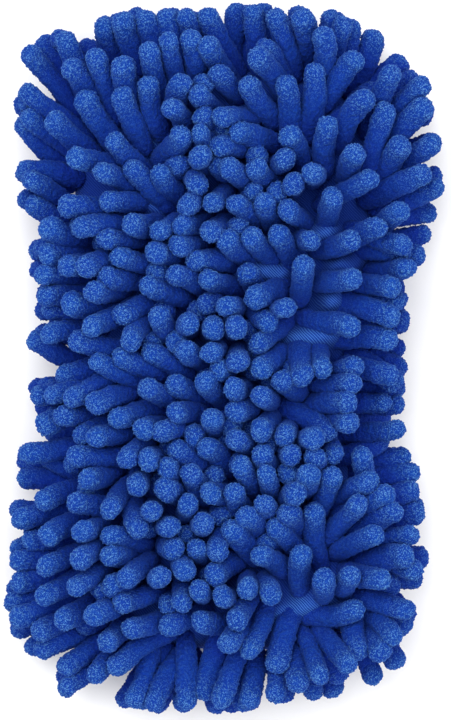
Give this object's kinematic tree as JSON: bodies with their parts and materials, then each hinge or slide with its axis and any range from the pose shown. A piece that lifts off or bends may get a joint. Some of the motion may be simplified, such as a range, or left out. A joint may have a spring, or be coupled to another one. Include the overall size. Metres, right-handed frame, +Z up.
{
  "type": "wash mitt",
  "caption": "Plump waisted chenille wash mitt: fuzzy round-ended fingers over a padded knit cover, with a hand pocket, elastic mouth hem, hanging loop and blank care label.",
  "frame": {"origin": "centre of the underside of the back panel, on the surface the mitt rests on", "axes": "+Z up out of the pile, +Y towards the closed fingertip end, -Y towards the hand mouth"},
  "size_m": [0.1798, 0.2898, 0.0674],
  "materials": {
    "chenille_pile": "soft fuzzy microfibre chenille pile, royal blue with paler tips",
    "ground_knit": "fine rib knit ground fabric, royal blue",
    "back_knit": "close plain knit, blue",
    "gusset_rib": "stretch rib knit, blue",
    "hem_rib": "stretch rib knit, blue",
    "binding": "woven bias tape, navy blue",
    "thread": "twisted polyester thread, blue",
    "lining": "smooth warp knit lining, pale blue",
    "foam": "open cell soft foam, cream",
    "elastic": "woven elastic, off white",
    "webbing": "narrow woven tape, blue",
    "label": "blank woven tab, white"
  },
  "bodies": {
    "back": {"back_panel": "back_knit", "perimeter_binding": "binding", "perimeter_stitches": "thread", "pocket_lining_back": "lining", "gusset_band": "gusset_rib", "mouth_hem": "hem_rib", "hem_elastic": "elastic", "hem_stitches": "thread", "loop_anchor_tape": "webbing", "label_stitches": "thread"},
    "pad": {"front_base_fabric": "ground_knit", "foam_core": "foam", "edge_fingers_left": "chenille_pile", "edge_fingers_mouth_end": "chenille_pile", "edge_fingers_right": "chenille_pile", "edge_fingers_tip_end": "chenille_pile", "field_fingers_row_01": "chenille_pile", "field_fingers_row_02": "chenille_pile", "field_fingers_row_03": "chenille_pile", "field_fingers_row_04": "chenille_pile", "field_fingers_row_05": "chenille_pile", "field_fingers_row_06": "chenille_pile", "field_fingers_row_07": "chenille_pile", "field_fingers_row_08": "chenille_pile", "field_fingers_row_09": "chenille_pile", "field_fingers_row_10": "chenille_pile", "field_fingers_row_11": "chenille_pile", "field_fingers_row_12": "chenille_pile", "lower_edge_fingers_left": "chenille_pile", "lower_edge_fingers_mouth_end": "chenille_pile", "lower_edge_fingers_right": "chenille_pile", "lower_edge_fingers_tip_end": "chenille_pile"},
    "palm": {"pocket_lining_palm": "lining"},
    "hang_loop": {"hang_loop": "webbing", "loop_bar_tack": "thread"},
    "care_label": {"care_label": "label"}
  },
  "joints": [
    {"name": "mouth_opening", "type": "hinge", "parent": "back", "child": "pad", "pos_m": [0, 0.116, 0.01], "axis": [-1, 0, 0], "range_deg": [0, 9], "deforming": ["gusset_band", "mouth_hem", "hem_elastic", "hem_stitches"]},
    {"name": "palm_press", "type": "slide", "parent": "pad", "child": "palm", "axis": [0, 0, 1], "range_m": [0, 0.008], "stiffness_N_per_m": 300, "deforming": ["foam_core"]},
    {"name": "hang_loop_swing", "type": "hinge", "parent": "back", "child": "hang_loop", "pos_m": [-0.0649, -0.0925, 0.0073], "axis": [0, 0, 1], "range_deg": [0, 170]},
    {"name": "care_label_flip", "type": "hinge", "parent": "back", "child": "care_label", "pos_m": [0.0574, -0.087, 0.0046], "axis": [0, -1, 0], "range_deg": [-10, 35]}
  ]
}
